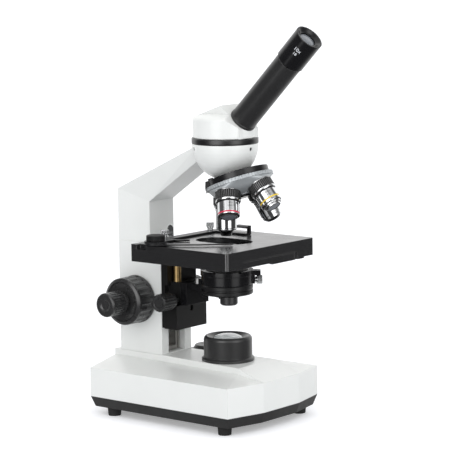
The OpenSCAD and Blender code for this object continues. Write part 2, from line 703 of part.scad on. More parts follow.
module stage_plate() color("#161618") place() difference() {
  union() {
    difference() {
      translate([-stage_half_w, -stage_front, stage_under])
        cube([2 * stage_half_w, stage_front + stage_rear, stage_t]);
      // round the front corners
      for (s = [-1, 1]) translate([s * (stage_half_w - stage_corner_r),
                                   -stage_front + stage_corner_r, 140])
        difference() {
          translate([s > 0 ? 0 : -stage_corner_r - 1, -stage_corner_r - 1, 0])
            cube([stage_corner_r + 1, stage_corner_r + 1, 50]);
          translate([0, 0, -1]) cylinder(h = 60, r = stage_corner_r);
        }
      // hollow underneath, open to the rear
      translate([-stage_half_w + skirt_t, -stage_front + skirt_t,
                 stage_under - 1])
        cube([2 * (stage_half_w - skirt_t), 140, stage_t - plate_top_t + 1]);
    }
    // tab under the front skirt
    translate([1, -stage_front, stage_under - 1.4]) cube([48.4, 3.6, 2]);
  }
  // opening
  for (y = [-10, 16]) translate([0, y, 150]) cylinder(h = 40, r = opening_r);
  translate([-opening_r, -10, 150]) cube([2 * opening_r, 26, 40]);
  // ways for the support's rails
  for (x = [-42.3, 37.7]) translate([x, -34, roof_under - 1])
    cube([4.6, 140, 3.4]);
  // groove for the slide holder's tongue
  translate([-50, 51, stage_top - 2.3]) cube([100, 4, 5]);
  // notch in the left wall, under the finger's hub
  translate([-stage_half_w - 1, 44, roof_under]) cube([6.6, 12.4, 10]);
  // line and notch of the front panel
  translate([-41.2, -stage_front - 1, 160.4]) cube([78.4, 1.6, 0.8]);
  translate([35.2, -stage_front - 1, 153]) cube([4.4, 2.6, 8.2]);
}

module slide_holder() color("#1c1c1e") place() difference() {
  union() {
    translate([-34, bar_y, holder_z]) cube([80, 56 - bar_y, bar_t]);
    translate([-34, 51.4, stage_top - 1.9]) cube([68, 3.2, 3.6]);
    // wide left end and the thin seat under the finger
    translate([-46.6, 38.5, holder_z]) cube([15.6, 17.5, bar_t]);
    translate([hub_x, hub_y - 5.5, holder_z]) cube([14, 11, seat_h]);
    translate([hub_x, hub_y, holder_z]) cylinder(h = seat_h, r = 8.2);
    translate([hub_x, hub_y, holder_z]) cylinder(h = 6.4, r = 2);
    // fixed jaw: a flat plate with a hooked tip over it
    translate([38, 10, holder_z]) cube([8, 40, bar_t]);
    translate([43.4, 7, holder_z]) cube([2.6, 3.2, 8.8]);
    translate([0, 0, holder_z]) linear_extrude(height = bar_t)
      polygon(concat([[46, 10], [38, 10]],
        [for (a = [180:20:360]) [42 + 4 * cos(a), 10 + 4.6 * sin(a)]]));
    translate([0, 22, holder_z]) rotate([90, 0, 0]) linear_extrude(height = 15)
      polygon([[46, 6.4], [46, 8.8], [40.4, 8.8], [38, 7.4], [38, 6.9],
               [39.4, 6.4]]);
    // pointed stop beside the finger
    translate([-34, 0, holder_z]) linear_extrude(height = bar_t - 0.1)
      polygon([[0, 50], [3, 35], [12, 27], [5.5, 38], [8, 50]]);
  }
  // threads of the two clamp screws
  for (x = [-28.5, 38.5]) translate([x, 52.6, holder_z + bar_t - 2.05])
    cylinder(h = 5, r = 1.55);
}

// the finger's blade curves round the hub and runs forward over the stage
module holder_finger() color("#242426") place()
  translate([hub_x, hub_y, holder_z + seat_h + 0.1]) difference() {
    union() {
      cylinder(h = boss_h, r = boss_r);
      linear_extrude(height = 1.1)
        polygon([[-9, -4], [-7.5, -8.5], [-4, -13.5], [1, -19], [7, -27.2],
                 [15.9, -39.2], [26.4, -49.9], [36.7, -60.8], [38.3, -62.6],
                 [39.7, -60.6], [36, -56.5], [27.5, -46.8], [18.5, -35.8],
                 [10.9, -25], [7.5, -18], [6.7, -11], [8, -5]]);
    }
    translate([0, 0, -1]) cylinder(h = 8, r = 2 + run_gap);
    for (a = [0:12:348]) rotate([0, 0, a]) translate([boss_r + 0.5, 0, 1.6])
      cylinder(h = 4, r = 0.9, $fn = 16);
  }

module finger_hub() color("#161616") place()
  translate([hub_x, hub_y, holder_z + seat_h + boss_h + 0.3]) difference() {
    rotate_extrude()
      polygon([[0, 0], [8.5, 0], [8.9, 0.4], [8.9, 4.8], [8.3, 5.4], [0, 5.4]]);
    translate([0, 0, -1]) cylinder(h = 3.55, r = 2 + 0.02);
    for (a = [0:20:340]) rotate([0, 0, a]) translate([9.5, 0, -1])
      cylinder(h = 5, r = 0.9, $fn = 16);
  }

module knurled(r, h, n) {
  difference() {
    rotate_extrude() polygon([[0, 0], [r - 0.3, 0], [r, 0.3], [r, h - 0.4],
                              [r - 0.4, h], [0, h]]);
    for (i = [0:n - 1]) rotate([0, 0, i * 360 / n]) translate([r + 0.2, 0, 0.8])
      cylinder(h = h, r = 0.5, $fn = 16);
  }
}

// knurled screw with an upright thumb tab
module clamp_screw_left() color("#c4c4c4") place()
  translate([-28.5, 52.6, holder_z + bar_t + 0.05]) {
    translate([0, 0, -1.9]) cylinder(h = 2, r = 1.5);
    cylinder(h = 4.1, r = 2.2);
    translate([0, 0, 4]) knurled(4.1, 4.2, 20);
    rotate([0, 0, -50.4]) translate([2.4, 0.9, 0.3]) rotate([90, 0, 0])
      linear_extrude(height = 1.8)
        polygon([[0, 3.8], [2.2, 0], [5.8, 0], [5.8, 10.4], [4.6, 12],
                 [2.8, 13], [1.4, 12.4], [0, 10]]);
  }
module clamp_screw_right() color("#c4c4c4") place()
  translate([38.5, 52.6, holder_z + bar_t + 0.05]) {
    translate([0, 0, -1.9]) cylinder(h = 2, r = 1.5);
    cylinder(h = 2.6, r = 3);
    translate([0, 0, 2.5]) knurled(3.8, 5.6, 20);
  }

// the outer of two coaxial shafts moves the stage, the inner the slide
module y_knob() color("#1b1b1d") place()
  translate([xy_x, xy_y, knob_plane_z - 13]) difference() {
    union() {
      cylinder(h = support_top - knob_plane_z + 10, r = 3.5);
      knurled(11, 13, 36);
    }
    translate([0, 0, -6]) cylinder(h = 40, r = 2 + run_gap);
  }
module x_knob() color("#1b1b1d") place()
  translate([xy_x, xy_y, knob_plane_z - 29]) {
    cylinder(h = support_top - knob_plane_z + 25.6, r = 2);
    knurled(8.5, 15.5, 28);
  }

// ------------------------------------------------------------ condenser

module condenser_carrier() color("#1a1a1c") place() difference() {
  union() {
    translate([0, 0, 130.6]) cylinder(h = 12.6, r = carrier_r - 0.7);
    translate([0, 0, 139.4]) cylinder(h = 4.6, r = carrier_r);
    translate([-16, 37, 107.4]) cube([32, 7.8, 21.8]);
    translate([-13, 18, 122.6]) cube([26, 20, 6.6]);
    translate([-13, 18, 122.6]) cube([26, 7, 12]);
    translate([-1.7, cond_y - cond_pitch_r, cond_z]) rotate([90, 0, 90])
      linear_extrude(height = 3.4) rotate(90) strip(0.8, -1, 5, 3);
    // ear that takes the clamp screw
    rotate([0, 0, clamp_dir]) translate([22, -4.5, 138.5])
      cube([10, 9, 4.7]);
    rotate([0, 0, clamp_dir]) translate([22, -4.5, 130.6])
      cube([4.6, 9, 9]);
  }
  translate([0, 0, 120]) cylinder(h = 30, r = 20);
  // slots round the top rim
  for (a = [10:60:310]) rotate([0, 0, a]) translate([21, -1.4, 143])
    cube([8, 2.8, 2]);
  // lower part of the condenser turns freely inside the arm's reach
  translate([0, 0, 115]) cylinder(h = 15.5, r = iris_r + 0.4);
  rotate([0, 0, clamp_dir]) translate([18, 0, 133.9]) rotate([0, 90, 0])
    cylinder(h = 12, r = 2.05);
}

module condenser_body() color("#1e1e20") place() rotate_extrude()
  polygon([[8.4, iris_z], [iris_r - 1, iris_z], [iris_r, iris_z + 1],
           [iris_r, 124.6], [iris_r - 1.3, 124.9], [iris_r - 1.3, 126.3],
           [iris_r, 126.6], [iris_r, 129.4], [iris_r - 0.6, 130.4],
           [19.9, 130.4], [19.9, 144.4], [11.4, 145.6], [9.8, 146.6],
           [9.6, 167.6], [7.6, 167.6], [7.6, 146], [8.4, 144]]);

module condenser_lens() color("#d5e4ec") place() translate([0, 0, 161])
  rotate_extrude()
    polygon(concat([[0, 0], [7.55, 0]],
      [for (a = [0:15:90]) [7.55 * cos(a), 4.6 + 1.7 * sin(a)]]));

module iris_lever() color("#1c1c1e") place() rotate([0, 0, lever_dir])
  difference() {
    union() {
      translate([0, 0, 118.2]) cylinder(h = 2.6, r = 12.5);
      translate([0, 0, 116]) cylinder(h = 11, r = 8.3);
      translate([8, -3.5, 118.2]) cube([8, 7, 2.6]);
      translate([15.5, 0, 112.6]) rotate_extrude()
        polygon([[0, 0], [7.2, 0], [8.4, 1.4], [8.4, 7.6], [7.8, 8.2],
                 [0, 8.2]]);
    }
    translate([0, 0, 110]) cylinder(h = 20, r = 6.6);
  }

module condenser_knob() color("#1b1b1d") place() {
  difference() {
    translate([-22.9, cond_y, cond_z]) rotate([0, -90, 0]) rotate_extrude()
      polygon([[0, 0], [cond_knob_r - 1.6, 0], [cond_knob_r - 1.2, 0.5],
               [cond_knob_r - 1.2, 2.4], [cond_knob_r, 3.4],
               [cond_knob_r, 18.6], [cond_knob_r - 0.8, 19.4],
               [cond_knob_r - 2.4, 19.6], [cond_knob_r - 3, 18.9], [0, 18.9]]);
    for (a = [0:20:340]) translate([-50, cond_y, cond_z]) rotate([a, 0, 0])
      translate([0, cond_knob_r + 0.8, 0]) rotate([0, 90, 0])
        cylinder(h = 26, r = 1.3, $fn = 24);
  }
  rod_x(-23, 15, cond_y, cond_z, 3);
  translate([-1.6, cond_y, cond_z]) rotate([0, 90, 0])
    linear_extrude(height = 3.2) rotate(180) wheel(12, 0.8);
}

module condenser_thumbscrew() color("#c9c9cb") place()
  rotate([0, 0, clamp_dir]) translate([20.4, 0, 133.9]) rotate([0, 90, 0]) {
    cylinder(h = 8, r = 2);
    translate([0, 0, 6.4]) cylinder(h = 1.4, r = 3);
    translate([0, 0, 7.7]) knurled(4.2, 5.6, 22);
  }

// ------------------------------------------------------ head, eyepiece

module head_body() color("whitesmoke") place() difference() {
  union() {
    rotate_extrude()
      polygon(concat([[0, bowl_top - 5.4], [22, bowl_top - 5.4],
        [22, 270.5], [head_r - 0.4, 270.5], [head_r, 270.9]],
        [for (a = [0:10:90]) [head_r * cos(a), 288 + 6 * sin(a)]]));
    side_prism(block_half_w,
      [[26.9, 270.5], [26.9, 289.3], [-7, 301.5], [-29, 279.5], [-29, 270.5]]);
  }
  // flat front that carries the tube
  on_tube() translate([-50, -50, 30.6]) cube([100, 100, 60]);
  on_tube() translate([0, 0, 12]) cylinder(h = 30, r = 11.6);
  translate([0, 0, 250]) cylinder(h = 30, r = 10);
  // prism chamber
  translate([-11, -12, 272]) cube([22, 25, 18]);
}

module prism() color("#cfe3ee") place()
  side_prism(10.6, [[-11.6, 272.4], [11.6, 272.4], [12.4, 281], [2, 289.4],
                    [-11.6, 283]]);

module eyepiece_tube() color("#161616") place() on_tube() rotate_extrude()
  polygon([[9.6, 24], [11.5, 24], [11.5, 30.7], [tube_r + 0.5, 30.7],
           [tube_r + 0.5, 32.8], [tube_r, 33.3], [tube_r, tube_end - 0.4],
           [tube_r - 0.3, tube_end], [tube_bore_r, tube_end],
           [tube_bore_r, 40], [9.6, 36]]);

module eyepiece_body() color("#141414") place() on_tube() rotate_extrude()
  polygon([[9.4, 78], [tube_bore_r - run_gap, 78],
           [tube_bore_r - run_gap, eyepiece_start],
           [eyepiece_r - 0.7, eyepiece_start],
           [eyepiece_r, eyepiece_start + 0.9],
           [eyepiece_r, eyepiece_end - 6],
           [eyepiece_r, eyepiece_end], [eyepiece_r - 1.4, eyepiece_end],
           [9.2, eyepiece_end - 2.4], [8, eyepiece_end - 2.6],
           [8, eyepiece_end - 7], [9.4, eyepiece_end - 9]]);

module eye_lens() color("#c9dcec") place() on_tube()
  translate([0, 0, eyepiece_end - 6.8]) rotate_extrude()
    polygon(concat([[0, 0], [7.95, 0]],
      [for (a = [0:15:90]) [7.95 * cos(a), 2.4 + 1.6 * sin(a)]]));

base_shell();
base_pan();
foot_front_left();
foot_front_right();
foot_rear_left();
foot_rear_right();
illuminator_housing();
collector_lens();
lamp_board();
lamp_dome();
power_board();
dimmer_dial();
power_inlet();
rocker_switch();
arm_casting();
guide_rail();
head_ring();
set_screw_front();
set_screw_left();
set_screw_right();
nosepiece_mount();
turret();
objective_4x();
objective_10x();
objective_40x();
objective_100x();
front_lens_4x();
front_lens_10x();
front_lens_40x();
front_lens_100x();
coarse_shaft();
coarse_knob_left();
coarse_knob_right();
fine_shaft();
fine_knob_left();
fine_knob_right();
carriage();
lift_rack();
stop_post();
stage_support();
stage_plate();
slide_holder();
holder_finger();
finger_hub();
clamp_screw_left();
clamp_screw_right();
y_knob();
x_knob();
condenser_carrier();
condenser_body();
condenser_lens();
iris_lever();
condenser_knob();
condenser_thumbscrew();
head_body();
prism();
eyepiece_tube();
eyepiece_body();
eye_lens();
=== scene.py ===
import json
import math

import bpy
from mathutils import Matrix, Vector


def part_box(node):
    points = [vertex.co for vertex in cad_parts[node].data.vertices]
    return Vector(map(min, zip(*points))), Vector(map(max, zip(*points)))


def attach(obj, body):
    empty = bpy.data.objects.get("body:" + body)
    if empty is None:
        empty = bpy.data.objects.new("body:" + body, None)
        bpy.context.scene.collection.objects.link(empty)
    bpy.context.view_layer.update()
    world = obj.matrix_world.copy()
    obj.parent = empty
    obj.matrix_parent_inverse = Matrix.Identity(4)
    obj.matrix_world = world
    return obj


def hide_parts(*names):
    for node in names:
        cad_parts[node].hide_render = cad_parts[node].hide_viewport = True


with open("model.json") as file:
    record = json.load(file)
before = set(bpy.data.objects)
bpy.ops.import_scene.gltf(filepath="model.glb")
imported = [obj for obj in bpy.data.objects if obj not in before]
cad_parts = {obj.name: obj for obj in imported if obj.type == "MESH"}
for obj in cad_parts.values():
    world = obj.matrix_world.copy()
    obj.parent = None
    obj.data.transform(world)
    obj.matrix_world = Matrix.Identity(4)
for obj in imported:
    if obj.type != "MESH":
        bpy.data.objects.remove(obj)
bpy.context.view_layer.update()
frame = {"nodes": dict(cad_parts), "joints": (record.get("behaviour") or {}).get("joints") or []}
nodes = frame["nodes"]
scene = bpy.context.scene
scene.view_settings.view_transform = "Standard"

MM = 0.001
lens_lo, lens_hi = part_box("collector_lens")
# the optical axis is the collector lens's own axis
AXIS = Vector(((lens_lo.x + lens_hi.x) / 2, (lens_lo.y + lens_hi.y) / 2, 0))


# ------------------------------------------------------------ shader tools

class Shade:
    """One procedural material around a Principled shader, in the part's own space."""

    def __init__(self, name, color, rough, metal=0.0, ior=1.5, coat=0.0,
                 coat_rough=0.1, transmission=0.0):
        self.mat = bpy.data.materials.new(name)
        self.mat.use_nodes = True
        self.nt = self.mat.node_tree
        self.nt.nodes.clear()
        self.out = self.new("ShaderNodeOutputMaterial")
        self.bsdf = self.new("ShaderNodeBsdfPrincipled")
        self.link(self.bsdf.outputs[0], self.out.inputs[0])
        self.color = color
        self.rough = rough
        self.put("Base Color", (*color, 1))
        self.put("Roughness", rough)
        self.put("Metallic", metal)
        self.put("IOR", ior)
        self.put("Coat Weight", coat)
        self.put("Coat Roughness", coat_rough)
        self.put("Transmission Weight", transmission)
        self.coords = self.new("ShaderNodeTexCoord").outputs["Object"]
        self.normal = None

    def new(self, kind, **values):
        node = self.nt.nodes.new(kind)
        for key, value in values.items():
            setattr(node, key, value)
        return node

    def link(self, a, b):
        self.nt.links.new(a, b)

    def put(self, socket, value):
        self.bsdf.inputs[socket].default_value = value

    def noise(self, size, detail=3.0, rough=0.5, stretch=None):
        """Noise whose features are size metres across; 0 to 1."""
        node = self.new("ShaderNodeTexNoise")
        node.inputs["Scale"].default_value = 1.0 / size
        node.inputs["Detail"].default_value = detail
        node.inputs["Roughness"].default_value = rough
        source = self.coords
        if stretch:
            mapping = self.new("ShaderNodeMapping")
            mapping.inputs["Scale"].default_value = stretch
            self.link(source, mapping.inputs["Vector"])
            source = mapping.outputs[0]
        self.link(source, node.inputs["Vector"])
        return node.outputs["Fac"]

    def remap(self, value, lo, hi, low=0.3, high=0.7):
        node = self.new("ShaderNodeMapRange")
        self.link(value, node.inputs["Value"])
        node.inputs["From Min"].default_value = low
        node.inputs["From Max"].default_value = high
        node.inputs["To Min"].default_value = lo
        node.inputs["To Max"].default_value = hi
        return node.outputs[0]

    def mix(self, factor, a, b):
        """Colour mix; a and b are colours or sockets."""
        node = self.new("ShaderNodeMix", data_type="RGBA")
        self.link(factor, node.inputs[0])
        for socket, value in ((node.inputs[6], a), (node.inputs[7], b)):
            if isinstance(value, tuple):
                socket.default_value = (*value, 1)
            else:
                self.link(value, socket)
        return node.outputs[2]

    def vary(self, size, amount):
        """Soft lighter and darker clouds in the colour."""
        dark = tuple(v * (1 - amount) for v in self.color)
        light = tuple(min(1, v * (1 + amount)) for v in self.color)
        out = self.mix(self.remap(self.noise(size), 0, 1), dark, light)
        self.link(out, self.bsdf.inputs["Base Color"])

    def vary_rough(self, size, amount, stretch=None):
        out = self.remap(self.noise(size, stretch=stretch),
                         self.rough - amount, self.rough + amount)
        self.link(out, self.bsdf.inputs["Roughness"])

    def round_edges(self, radius):
        """Rounds the edges in the shading, as a moulding's or casting's."""
        node = self.new("ShaderNodeBevel", samples=6)
        node.inputs["Radius"].default_value = radius
        if self.normal:
            self.link(self.normal, node.inputs["Normal"])
        self.normal = node.outputs[0]
        self.link(self.normal, self.bsdf.inputs["Normal"])

    def bump(self, height, depth):
        node = self.new("ShaderNodeBump")
        node.inputs["Strength"].default_value = 1.0
        node.inputs["Distance"].default_value = depth
        self.link(height, node.inputs["Height"])
        if self.normal:
            self.link(self.normal, node.inputs["Normal"])
        self.normal = node.outputs[0]
        self.link(self.normal, self.bsdf.inputs["Normal"])


def painted(name, color, rough, edge, peel=4e-6, clouds=0.012, coat=0.0):
    s = Shade(name, color, rough, coat=coat, coat_rough=0.15)
    s.vary(0.03, clouds)
    s.vary_rough(0.008, 0.04)
    s.round_edges(edge)
    s.bump(s.noise(0.0011, 2), peel)
    return s


def moulded(name, color, rough, edge, grain=1e-6, ior=1.5):
    s = Shade(name, color, rough, ior=ior)
    s.vary(0.012, 0.06)
    s.vary_rough(0.02, 0.02)
    s.round_edges(edge)
    s.bump(s.noise(0.0006, 2), grain)
    return s


def metal(name, color, rough, edge, streak=(1, 1, 14), lines=1.2e-6, size=0.0012,
          spread=0.05):
    s = Shade(name, color, rough, metal=1.0)
    s.vary(0.006, 0.06)
    s.vary_rough(0.002, spread, stretch=streak)
    s.round_edges(edge)
    s.bump(s.noise(size, 2, stretch=streak), lines)
    return s


WHITE = painted("white_paint", (0.80, 0.815, 0.80), 0.34, 0.0009, coat=0.25)
PAN = painted("black_paint", (0.028, 0.028, 0.028), 0.45, 0.0006, clouds=0.15)
BLACK_METAL = moulded("black_anodised", (0.010, 0.010, 0.0105), 0.36, 0.0005)
STAGE = moulded("stage_lacquer", (0.014, 0.014, 0.015), 0.24, 0.0008, grain=3e-8,
                ior=2.0)
HOLDER = moulded("holder_lacquer", (0.010, 0.010, 0.011), 0.36, 0.0003, grain=3e-7,
                 ior=1.35)
HUB = moulded("hub_moulding", (0.006, 0.006, 0.006), 0.50, 0.0003, ior=1.35)
CARRIAGE = moulded("carriage_black", (0.006, 0.006, 0.0062), 0.42, 0.0004)
TUBE = moulded("tube_black", (0.022, 0.022, 0.0225), 0.32, 0.0003, grain=2e-7)
LAMP = moulded("lamp_black", (0.026, 0.026, 0.0265), 0.30, 0.0006, grain=2e-7)
PLASTIC = moulded("black_moulding", (0.011, 0.011, 0.011), 0.36, 0.0005)
KNOB = moulded("knob_moulding", (0.026, 0.026, 0.0265), 0.27, 0.0004, grain=1e-7,
               ior=1.6)
GLOSS = moulded("black_gloss", (0.008, 0.008, 0.009), 0.22, 0.0008, grain=4e-7,
                ior=1.45)
RING = moulded("ring_gloss", (0.008, 0.008, 0.009), 0.32, 0.0024, grain=4e-7, ior=1.75)
RUBBER = moulded("rubber", (0.014, 0.014, 0.014), 0.75, 0.0006, grain=8e-6)
STEEL = metal("ground_steel", (0.42, 0.41, 0.39), 0.34, 0.0003)
# blackened steel for the set screws, also used as painted shade in the objectives' grooves and
# under their steps
BLACKENED_STEEL_AND_SHADE = metal("blackened_steel_and_step_shade", (0.05, 0.05, 0.055), 0.35, 0.0002)
CHROME = metal("chrome", (0.78, 0.79, 0.80), 0.10, 0.0004, spread=0.03)
TURRET = metal("turret_metal", (0.44, 0.465, 0.48), 0.42, 0.0005,
               streak=(1, 1, 1), spread=0.04, lines=5e-7)
TURRET.put("Metallic", 0.45)
BRASS = metal("brass", (0.55, 0.38, 0.17), 0.36, 0.0004)
BOARD = painted("solder_mask", (0.03, 0.16, 0.07), 0.4, 0.0003)


def glassy(name, color, rough, transmission):
    s = Shade(name, color, rough, transmission=transmission, ior=1.52)
    s.vary(0.004, 0.02)
    s.bump(s.noise(0.004, 1), 4e-7)
    return s


LENS = glassy("lens_glass", (0.80, 0.83, 0.84), 0.06, 0.35)
OPTIC = glassy("optic_glass", (0.30, 0.32, 0.35), 0.05, 0.35)
LED = glassy("lamp_resin", (0.95, 0.92, 0.70), 0.25, 0.2)

GRIP_MAT = moulded("objective_grip", (0.013, 0.013, 0.014), 0.38, 0.00012)
# lighter metal on the knurl's tooth tops: a painted glint
TOOTH_GLINT = metal("painted_tooth_glint", (0.20, 0.20, 0.205), 0.30, 0.0001)
# darker black in the knurl's grooves: painted shade
GROOVE_SHADE = moulded("painted_groove_shade", (0.006, 0.006, 0.006), 0.5, 0.0001)
RED = painted("band_red", (0.60, 0.02, 0.07), 0.35, 0.0002)
YELLOW = painted("band_yellow", (0.80, 0.56, 0.03), 0.35, 0.0002)
BLUE = painted("band_blue", (0.05, 0.20, 0.60), 0.35, 0.0002)
END_BLACK = moulded("objective_end", (0.008, 0.008, 0.009), 0.45, 0.0001)
INK = painted("ink_black", (0.02, 0.02, 0.02), 0.5, 0.0001)
INK_WHITE = painted("ink_white", (0.75, 0.77, 0.80), 0.5, 0.0001)
BAND_WHITE = painted("band_white", (0.85, 0.85, 0.85), 0.35, 0.0002)

LOOKS = {
    "base_shell": WHITE, "arm_casting": WHITE, "head_body": WHITE,
    "base_pan": PAN, "illuminator_housing": LAMP, "power_inlet": PLASTIC,
    "dimmer_dial": PLASTIC, "rocker_switch": GLOSS,
    "collector_lens": LENS, "lamp_dome": LED, "lamp_board": BOARD,
    "power_board": BOARD, "guide_rail": STEEL, "lift_rack": BRASS,
    "stop_post": BRASS, "head_ring": RING, "nosepiece_mount": GLOSS,
    "turret": TURRET, "coarse_shaft": STEEL, "fine_shaft": STEEL,
    "carriage": CARRIAGE, "stage_support": CARRIAGE,
    "stage_plate": STAGE, "slide_holder": HOLDER,
    "holder_finger": HOLDER, "finger_hub": HUB,
    "clamp_screw_left": CHROME, "clamp_screw_right": CHROME,
    "condenser_thumbscrew": CHROME, "condenser_carrier": GLOSS,
    "condenser_body": BLACK_METAL, "condenser_lens": OPTIC,
    "iris_lever": KNOB, "prism": OPTIC, "eyepiece_tube": TUBE,
    "eyepiece_body": GLOSS, "eye_lens": OPTIC,
}
for name, obj in nodes.items():
    if name in LOOKS:
        look = LOOKS[name]
    elif name.startswith("foot_"):
        look = RUBBER
    elif name.startswith("objective_"):
        look = CHROME
    elif name.startswith("front_lens_"):
        look = OPTIC
    elif name.startswith("set_screw_"):
        look = BLACKENED_STEEL_AND_SHADE
    else:
        look = KNOB
    for slot in obj.material_slots:
        slot.material = look.mat

# ------------------------------------------------------------ mesh tools

JOINTS = {j["name"]: j for j in frame["joints"]}


def add_piece(name, mesh, mats, body, smooth_deg=34):
    """Adds a mesh in row-frame metres as a visible piece on a body."""
    mesh.update()
    for mat in mats:
        mesh.materials.append(mat.mat)
    mesh.shade_smooth()
    mesh.set_sharp_from_angle(angle=math.radians(smooth_deg))
    obj = bpy.data.objects.new(name, mesh)
    scene.collection.objects.link(obj)
    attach(obj, body)
    return obj


def lathe_mesh(name, profile, place, segments):
    """Turns (radius, height, material slot, knurl) points, in mm, round local Z.

    knurl is None, or (teeth, depth, slot of the grooves) from that point on.
    """
    verts, faces, slots = [], [], []
    rows = []
    for radius, height, _, knurl in profile:
        if radius <= 0:
            rows.append([len(verts)])
            verts.append(place @ Vector((0, 0, height * MM)))
            continue
        row = []
        for i in range(segments):
            a = 2 * math.pi * i / segments
            r = radius
            if knurl:
                teeth, depth, _ = knurl
                wave = (a * teeth / (2 * math.pi)) % 1.0
                r -= depth * max(0.0, 1 - abs(wave - 0.5) * 4)
            row.append(len(verts))
            verts.append(place @ Vector((r * MM * math.cos(a), r * MM * math.sin(a),
                                         height * MM)))
        rows.append(row)
    for k in range(len(rows) - 1):
        a, b = rows[k], rows[k + 1]
        for i in range(segments):
            j = (i + 1) % segments
            if len(a) == 1 and len(b) == 1:
                continue
            if len(a) == 1:
                face = (a[0], b[j], b[i])
            elif len(b) == 1:
                face = (a[i], a[j], b[0])
            else:
                face = (a[i], a[j], b[j], b[i])
            faces.append(face)
            _, _, slot, knurl = profile[k]
            if knurl:
                teeth, _, groove_shade_slot = knurl
                wave = ((i + 0.5) * teeth / segments) % 1.0
                # faces in the grooves take the groove slot, which holds painted shade
                if abs(wave - 0.5) < 0.3:
                    slot = groove_shade_slot
            slots.append(slot)
    mesh = bpy.data.meshes.new(name)
    mesh.from_pydata(verts, [], faces)
    mesh.polygons.foreach_set("material_index", slots)
    return mesh


# directions seen from above: from the camera to the object, and to its right
AWAY = Vector((0.769, 0.639, 0.0))
SIDE = Vector((0.639, -0.769, 0.0))


def number(name, digits, size, place, body, radius, angle, along, mat):
    """Plain digits wrapped round a cylinder; size, radius and along are in mm."""
    curve = bpy.data.curves.new(name, "FONT")
    curve.body = digits
    curve.size = size
    curve.align_x = "CENTER"
    curve.resolution_u = 4
    flat = bpy.data.objects.new(name + "_flat", curve)
    scene.collection.objects.link(flat)
    bpy.context.view_layer.update()
    mesh = bpy.data.meshes.new_from_object(
        flat.evaluated_get(bpy.context.evaluated_depsgraph_get()))
    bpy.data.objects.remove(flat)
    bpy.data.curves.remove(curve)
    mesh.materials.clear()
    for v in mesh.vertices:
        a = angle + v.co.x / radius
        v.co = place @ Vector((radius * MM * math.cos(a), radius * MM * math.sin(a),
                               (along + v.co.y) * MM))
    return add_piece(name, mesh, (mat,), body)


def facing(place, offset_deg):
    """The angle round a piece's own axis that looks at the camera's side."""
    d = place.to_3x3().inverted() @ -AWAY
    return math.atan2(d.y, d.x) + math.radians(offset_deg)


# -------------------------------------------------------------- objectives

nose = JOINTS["nosepiece_turn"]
APEX = Vector(nose["pos_m"])
TILT = math.acos(-nose["axis"][2])


def objective_place(turn):
    return (Matrix.Translation(APEX) @ Matrix.Rotation(-TILT, 4, "X")
            @ Matrix.Rotation(math.radians(turn), 4, "Z")
            @ Matrix.Rotation(TILT, 4, "X"))


# distances down from the nosepiece's apex and radii, in mm
SEAT = 63.0
GRIP = 12.1
GRIP_START = SEAT + 1.4
GRIP_END = 71.2
NECK = 74.1
BARREL = 10.4
BARREL_START = 74.8
KNURL_TEETH = 42
KNURL_DEPTH = 0.55
# six steps of the lathe for each tooth
SEGMENTS = 6 * KNURL_TEETH

# the dark slot paints shade into the objectives' grooves and under their steps
PLAIN, BRIGHT, BAND_SLOT, STEP_SHADE, BLACK, TOOTH_GLINT_SLOT, GROOVE_SHADE_SLOT = range(7)


def objective(power, turn, lower, bands):
    """lower: (radius, distance, slot) points from the barrel's end to the tip."""
    # the knurl's tooth tops take a painted glint, and its grooves painted shade
    knurl = (KNURL_TEETH, KNURL_DEPTH, GROOVE_SHADE_SLOT)
    upper = [(8.0, SEAT - 0.1, BRIGHT, None), (GRIP - 0.45, SEAT + 0.05, BRIGHT, None),
             (GRIP - 0.05, SEAT + 0.3, BRIGHT, None), (GRIP - 0.05, SEAT + 0.9, STEP_SHADE, None),
             (GRIP - 0.3, SEAT + 1.0, PLAIN, None), (GRIP - 0.3, SEAT + 1.2, PLAIN, None),
             (GRIP, GRIP_START, TOOTH_GLINT_SLOT, knurl), (GRIP, GRIP_END, PLAIN, knurl),
             (GRIP - 0.4, GRIP_END + 0.3, STEP_SHADE, None),
             (GRIP - 0.6, GRIP_END + 0.4, BRIGHT, None),
             (GRIP - 0.15, GRIP_END + 0.7, BRIGHT, None),
             (GRIP - 0.1, GRIP_END + 1.3, BRIGHT, None),
             (GRIP - 0.5, NECK - 0.5, BRIGHT, None), (GRIP - 0.9, NECK - 0.1, STEP_SHADE, None),
             (BARREL - 0.35, NECK, STEP_SHADE, None), (BARREL - 0.35, NECK + 0.5, BRIGHT, None),
             (BARREL, BARREL_START, BRIGHT, None)]
    for top, bottom in bands:
        upper += [(BARREL, top, BRIGHT, None), (BARREL - 0.1, top + 0.05, BAND_SLOT, None),
                  (BARREL - 0.1, bottom - 0.05, BRIGHT, None),
                  (BARREL, bottom, BRIGHT, None)]
    profile = [(r, -t, slot, knurl) for r, t, slot, knurl in upper]
    profile += [(r, -t, slot, None) for r, t, slot in lower]
    name = "objective_" + power
    mesh = lathe_mesh(name + "_body", profile, objective_place(turn), SEGMENTS)
    piece = add_piece(name + "_body", mesh,
                      (GRIP_MAT, CHROME, BAND[power], BLACKENED_STEEL_AND_SHADE, END_BLACK, TOOTH_GLINT,
                       GROOVE_SHADE), "nosepiece")
    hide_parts(name)


